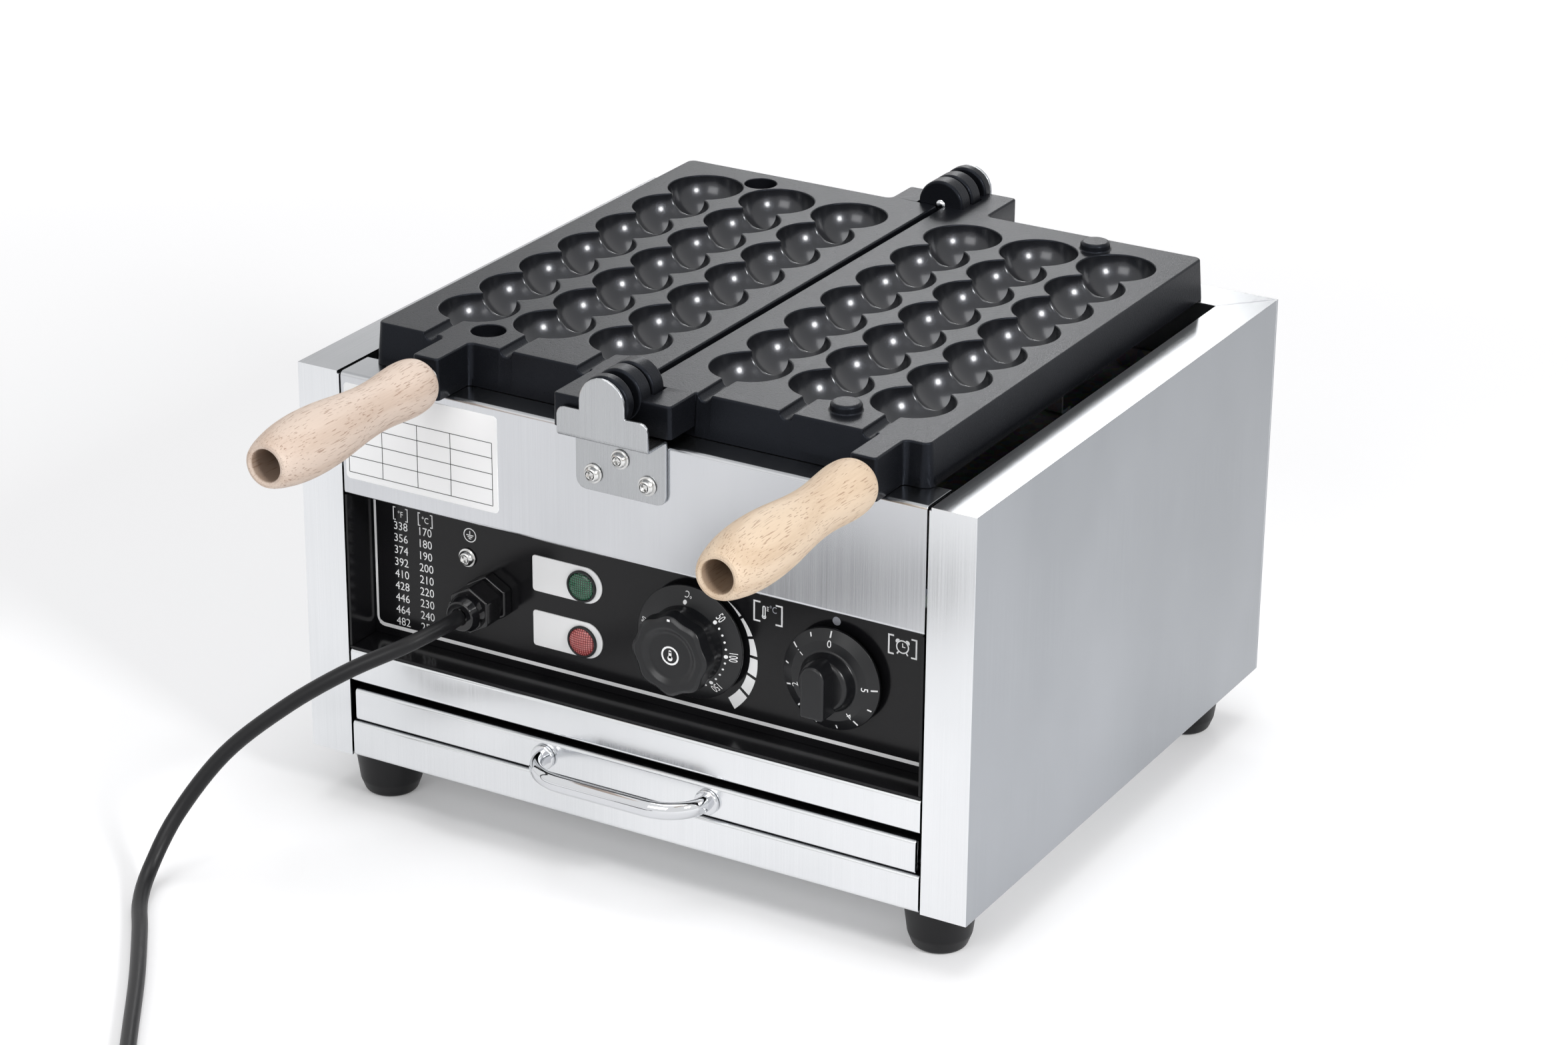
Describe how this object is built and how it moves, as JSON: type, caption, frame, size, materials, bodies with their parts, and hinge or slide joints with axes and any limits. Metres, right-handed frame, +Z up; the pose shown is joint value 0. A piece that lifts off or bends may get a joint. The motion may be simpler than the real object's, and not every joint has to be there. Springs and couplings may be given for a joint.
{
  "type": "takoyaki maker",
  "caption": "Countertop electric takoyaki maker: two hinged cast plates of round cavities fold together over a stainless housing with knobs and a drip drawer.",
  "frame": {"origin": "centre of the object's footprint, without its mains cord, on the worktop under the feet", "axes": "+Z up, -Y towards the user, who stands at the control panel and handles, +X to the user's right"},
  "size_m": [0.3728, 0.724, 0.2619],
  "materials": {
    "stainless": "brushed",
    "galvanised": "galvanised",
    "chrome": "polished",
    "zinc_steel": "zinc plated",
    "cast_black": "black non-stick coating",
    "black_panel": "gloss black",
    "black_plastic": "satin black",
    "black_rubber": "matte",
    "beech": "bare turned beech",
    "green_lens": "faceted lens",
    "red_lens": "faceted lens",
    "element_steel": "heat darkened",
    "ivory_plastic": "moulded"
  },
  "bodies": {
    "housing": {"back_panel": "stainless", "base_plate": "galvanised", "cable_gland": "black_plastic", "coil_tie": "black_plastic", "control_panel": "black_panel", "cord": "black_rubber", "cord_coil": "black_rubber", "drawer_runner_left": "galvanised", "drawer_runner_right": "galvanised", "earth_screw": "zinc_steel", "element_support_front": "galvanised", "element_support_rear": "galvanised", "foot_front_left": "black_rubber", "foot_front_right": "black_rubber", "foot_rear_left": "black_rubber", "foot_rear_right": "black_rubber", "front_bracket_screw_1": "zinc_steel", "front_bracket_screw_2": "zinc_steel", "front_bracket_screw_3": "zinc_steel", "front_hinge_bracket": "stainless", "front_hinge_pin": "chrome", "front_upper_panel": "stainless", "gland_locknut": "black_plastic", "heat_lamp": "red_lens", "heat_shield": "galvanised", "heating_element_left": "element_steel", "heating_element_right": "element_steel", "lower_front_rail": "stainless", "plug": "black_plastic", "power_lamp": "green_lens", "rear_bracket_screw_1": "zinc_steel", "rear_bracket_screw_2": "zinc_steel", "rear_bracket_screw_3": "zinc_steel", "rear_hinge_bracket": "stainless", "rear_hinge_pin": "chrome", "recess_ledge": "black_panel", "recess_side_left": "black_panel", "recess_side_right": "black_panel", "side_panel_left": "stainless", "side_panel_right": "stainless", "terminal_block": "ivory_plastic", "thermostat": "galvanised", "timer": "galvanised", "upper_front_rail": "stainless"},
    "left_plate": {"mould_left": "cast_black", "ferrule_left": "zinc_steel", "handle_bolt_left": "zinc_steel", "handle_left": "beech"},
    "right_plate": {"mould_right": "cast_black", "ferrule_right": "zinc_steel", "handle_bolt_right": "zinc_steel", "handle_right": "beech"},
    "drawer": {"drawer_tray": "stainless", "drawer_face": "stainless", "drawer_pull": "chrome"},
    "temperature": {"temperature_knob": "black_plastic", "thermostat_shaft": "zinc_steel"},
    "timer_dial": {"timer_knob": "black_plastic", "timer_shaft": "zinc_steel"}
  },
  "joints": [
    {"name": "left_plate_hinge", "type": "hinge", "parent": "housing", "child": "left_plate", "pos_m": [0, 0.0563, 0.2493], "axis": [0, 1, 0], "range_deg": [0, 180]},
    {"name": "right_plate_hinge", "type": "hinge", "parent": "housing", "child": "right_plate", "pos_m": [0, 0.0563, 0.2493], "axis": [0, -1, 0], "range_deg": [0, 180]},
    {"name": "drawer_slide", "type": "slide", "parent": "housing", "child": "drawer", "axis": [0, -1, 0], "range_m": [0, 0.2]},
    {"name": "temperature_turn", "type": "hinge", "parent": "housing", "child": "temperature", "pos_m": [0.0263, -0.0867, 0.1265], "axis": [0, -1, 0], "range_deg": [0, 270]},
    {"name": "timer_turn", "type": "hinge", "parent": "housing", "child": "timer_dial", "pos_m": [0.101, -0.0867, 0.126], "axis": [0, 1, 0], "range_deg": [0, 270]}
  ]
}
